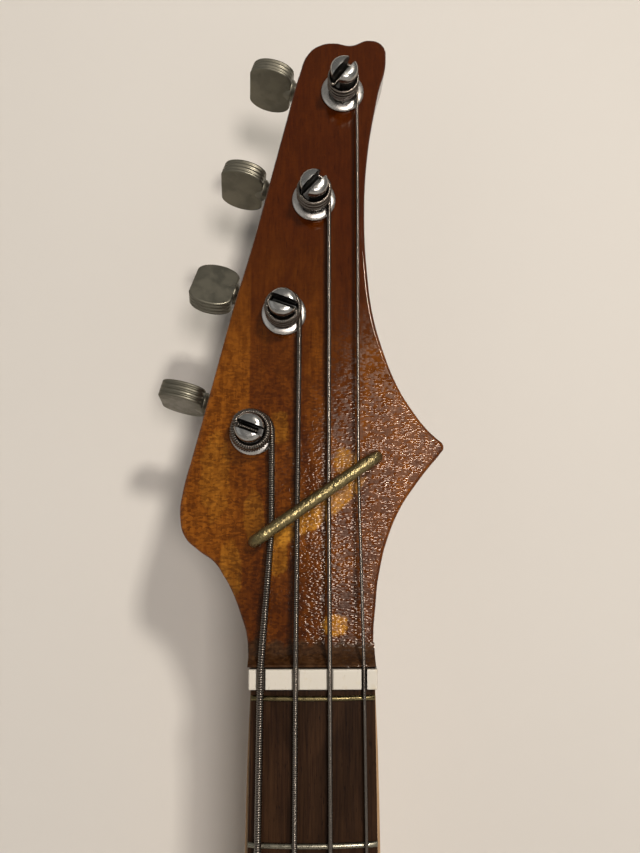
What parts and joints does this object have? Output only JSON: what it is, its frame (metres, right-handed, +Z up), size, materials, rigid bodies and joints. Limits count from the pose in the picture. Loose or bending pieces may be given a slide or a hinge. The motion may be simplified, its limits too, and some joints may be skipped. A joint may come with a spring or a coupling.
{
  "type": "electric bass guitar",
  "caption": "Solid-body electric bass guitar hanging upright: slotted posts wound with strings, worm-geared tuners, zero fret, bone nut, bolt-on neck, pickups, bridge and controls.",
  "frame": {"origin": "point between the hanger's two arms, midway through the headstock's thickness under its wide end", "axes": "+Z up along the neck to the headstock's tip, front of the instrument towards -Y, +X the thin-string side"},
  "size_m": [0.342, 0.0669, 1.212],
  "materials": {
    "lacquered_body_wood": "glossy lacquer",
    "lacquered_neck_wood": "glossy lacquer",
    "rosewood_and_frets": "oiled, with nickel frets",
    "bone": "polished bone",
    "aged_brass": "dulled",
    "satin_nickel": "satin, worn bright on its ridges",
    "worn_chrome": "slightly dulled",
    "steel": "wound, slightly tarnished",
    "black_plastic": "fine satin"
  },
  "bodies": {
    "instrument": {"body": "lacquered_body_wood", "neck": "lacquered_neck_wood", "fingerboard": "rosewood_and_frets", "zero_fret": "aged_brass", "nut": "bone", "truss_rod": "steel", "string_retainer": "aged_brass", "tuner_housing_e": "worn_chrome", "tuner_housing_a": "worn_chrome", "tuner_housing_d": "worn_chrome", "tuner_housing_g": "worn_chrome", "tuner_bushing_e": "worn_chrome", "tuner_bushing_a": "worn_chrome", "tuner_bushing_d": "worn_chrome", "tuner_bushing_g": "worn_chrome", "string_e": "steel", "string_a": "steel", "string_d": "steel", "string_g": "steel", "bridge_plate": "worn_chrome", "pot_neck_volume": "worn_chrome", "pot_bridge_volume": "worn_chrome", "pot_tone": "worn_chrome", "output_jack": "worn_chrome", "control_cover": "black_plastic", "neck_plate": "worn_chrome", "neck_screw_1": "worn_chrome", "neck_screw_2": "worn_chrome", "neck_screw_3": "worn_chrome", "neck_screw_4": "worn_chrome", "strap_button_horn": "worn_chrome", "strap_button_tail": "worn_chrome"},
    "tuner_key_e": {"tuner_key_e": "satin_nickel"},
    "tuner_post_e": {"tuner_post_e": "worn_chrome"},
    "tuner_key_a": {"tuner_key_a": "satin_nickel"},
    "tuner_post_a": {"tuner_post_a": "worn_chrome"},
    "tuner_key_d": {"tuner_key_d": "satin_nickel"},
    "tuner_post_d": {"tuner_post_d": "worn_chrome"},
    "tuner_key_g": {"tuner_key_g": "satin_nickel"},
    "tuner_post_g": {"tuner_post_g": "worn_chrome"},
    "saddle_screw_e": {"saddle_screw_e": "steel"},
    "saddle_e": {"saddle_e": "worn_chrome"},
    "saddle_screw_a": {"saddle_screw_a": "steel"},
    "saddle_a": {"saddle_a": "worn_chrome"},
    "saddle_screw_d": {"saddle_screw_d": "steel"},
    "saddle_d": {"saddle_d": "worn_chrome"},
    "saddle_screw_g": {"saddle_screw_g": "steel"},
    "saddle_g": {"saddle_g": "worn_chrome"},
    "knob_neck_volume": {"knob_neck_volume": "black_plastic"},
    "knob_bridge_volume": {"knob_bridge_volume": "black_plastic"},
    "knob_tone": {"knob_tone": "black_plastic"},
    "pickup_neck": {"pickup_neck": "black_plastic"},
    "pickup_bridge": {"pickup_bridge": "black_plastic"}
  },
  "joints": [
    {"name": "tuner_key_e_turn", "type": "hinge", "parent": "instrument", "child": "tuner_key_e", "pos_m": [-0.01976, 0.0175, 0.04217], "axis": [-0.9706, 0.0246, 0.2395], "continuous": true, "deforming": ["string_e"]},
    {"name": "tuner_post_e_turn", "type": "hinge", "parent": "instrument", "child": "tuner_post_e", "pos_m": [-0.0219, -0.00363, 0.03566], "axis": [0, -0.9948, 0.1021], "continuous": true, "deforming": ["string_e"]},
    {"name": "tuner_key_a_turn", "type": "hinge", "parent": "instrument", "child": "tuner_key_a", "pos_m": [-0.00878, 0.02202, 0.0862], "axis": [-0.9706, 0.0246, 0.2395], "continuous": true, "deforming": ["string_a"]},
    {"name": "tuner_post_a_turn", "type": "hinge", "parent": "instrument", "child": "tuner_post_a", "pos_m": [-0.01092, 0.00089, 0.07969], "axis": [0, -0.9948, 0.1021], "continuous": true, "deforming": ["string_a"]},
    {"name": "tuner_key_d_turn", "type": "hinge", "parent": "instrument", "child": "tuner_key_d", "pos_m": [0.0022, 0.02653, 0.13023], "axis": [-0.9706, 0.0246, 0.2395], "continuous": true, "deforming": ["string_d"]},
    {"name": "tuner_post_d_turn", "type": "hinge", "parent": "instrument", "child": "tuner_post_d", "pos_m": [0.00006, 0.00541, 0.12371], "axis": [0, -0.9948, 0.1021], "continuous": true, "deforming": ["string_d"]},
    {"name": "tuner_key_g_turn", "type": "hinge", "parent": "instrument", "child": "tuner_key_g", "pos_m": [0.01318, 0.03105, 0.17426], "axis": [-0.9706, 0.0246, 0.2395], "continuous": true, "deforming": ["string_g"]},
    {"name": "tuner_post_g_turn", "type": "hinge", "parent": "instrument", "child": "tuner_post_g", "pos_m": [0.01104, 0.00993, 0.16774], "axis": [0, -0.9948, 0.1021], "continuous": true, "deforming": ["string_g"]},
    {"name": "saddle_e_slide", "type": "slide", "parent": "instrument", "child": "saddle_e", "axis": [0, 0, 1], "range_m": [-0.003, 0.003], "deforming": ["string_e"]},
    {"name": "saddle_screw_e_turn", "type": "hinge", "parent": "instrument", "child": "saddle_screw_e", "pos_m": [-0.0235, -0.01774, -0.96], "axis": [0, 0, 1], "range_deg": [-2165, 2165], "deforming": ["string_e"]},
    {"name": "saddle_a_slide", "type": "slide", "parent": "instrument", "child": "saddle_a", "axis": [0, 0, 1], "range_m": [-0.003, 0.003], "deforming": ["string_a"]},
    {"name": "saddle_screw_a_turn", "type": "hinge", "parent": "instrument", "child": "saddle_screw_a", "pos_m": [-0.0045, -0.01774, -0.96], "axis": [0, 0, 1], "range_deg": [-2165, 2165], "deforming": ["string_a"]},
    {"name": "saddle_d_slide", "type": "slide", "parent": "instrument", "child": "saddle_d", "axis": [0, 0, 1], "range_m": [-0.003, 0.003], "deforming": ["string_d"]},
    {"name": "saddle_screw_d_turn", "type": "hinge", "parent": "instrument", "child": "saddle_screw_d", "pos_m": [0.0145, -0.01774, -0.96], "axis": [0, 0, 1], "range_deg": [-2165, 2165], "deforming": ["string_d"]},
    {"name": "saddle_g_slide", "type": "slide", "parent": "instrument", "child": "saddle_g", "axis": [0, 0, 1], "range_m": [-0.003, 0.003], "deforming": ["string_g"]},
    {"name": "saddle_screw_g_turn", "type": "hinge", "parent": "instrument", "child": "saddle_screw_g", "pos_m": [0.0335, -0.01774, -0.96], "axis": [0, 0, 1], "range_deg": [-2165, 2165], "deforming": ["string_g"]},
    {"name": "knob_neck_volume_turn", "type": "hinge", "parent": "instrument", "child": "knob_neck_volume", "pos_m": [0.1, -0.02, -0.84761], "axis": [0, -1, 0], "range_deg": [0, 270]},
    {"name": "knob_bridge_volume_turn", "type": "hinge", "parent": "instrument", "child": "knob_bridge_volume", "pos_m": [0.121, -0.02, -0.88761], "axis": [0, -1, 0], "range_deg": [0, 270]},
    {"name": "knob_tone_turn", "type": "hinge", "parent": "instrument", "child": "knob_tone", "pos_m": [0.127, -0.02, -0.93161], "axis": [0, -1, 0], "range_deg": [0, 270]},
    {"name": "pickup_neck_height", "type": "slide", "parent": "instrument", "child": "pickup_neck", "axis": [0, -1, 0], "range_m": [0, 0.003]},
    {"name": "pickup_bridge_height", "type": "slide", "parent": "instrument", "child": "pickup_bridge", "axis": [0, -1, 0], "range_m": [0, 0.003]}
  ],
  "couplings": [
    {"joint": "tuner_post_e_turn", "follows": "tuner_key_e_turn", "ratio": -0.071429},
    {"joint": "tuner_post_a_turn", "follows": "tuner_key_a_turn", "ratio": -0.071429},
    {"joint": "tuner_post_d_turn", "follows": "tuner_key_d_turn", "ratio": -0.071429},
    {"joint": "tuner_post_g_turn", "follows": "tuner_key_g_turn", "ratio": -0.071429},
    {"joint": "saddle_screw_e_turn", "follows": "saddle_e_slide", "rad_per_m": -12566},
    {"joint": "saddle_screw_a_turn", "follows": "saddle_a_slide", "rad_per_m": -12566},
    {"joint": "saddle_screw_d_turn", "follows": "saddle_d_slide", "rad_per_m": -12566},
    {"joint": "saddle_screw_g_turn", "follows": "saddle_g_slide", "rad_per_m": -12566}
  ]
}
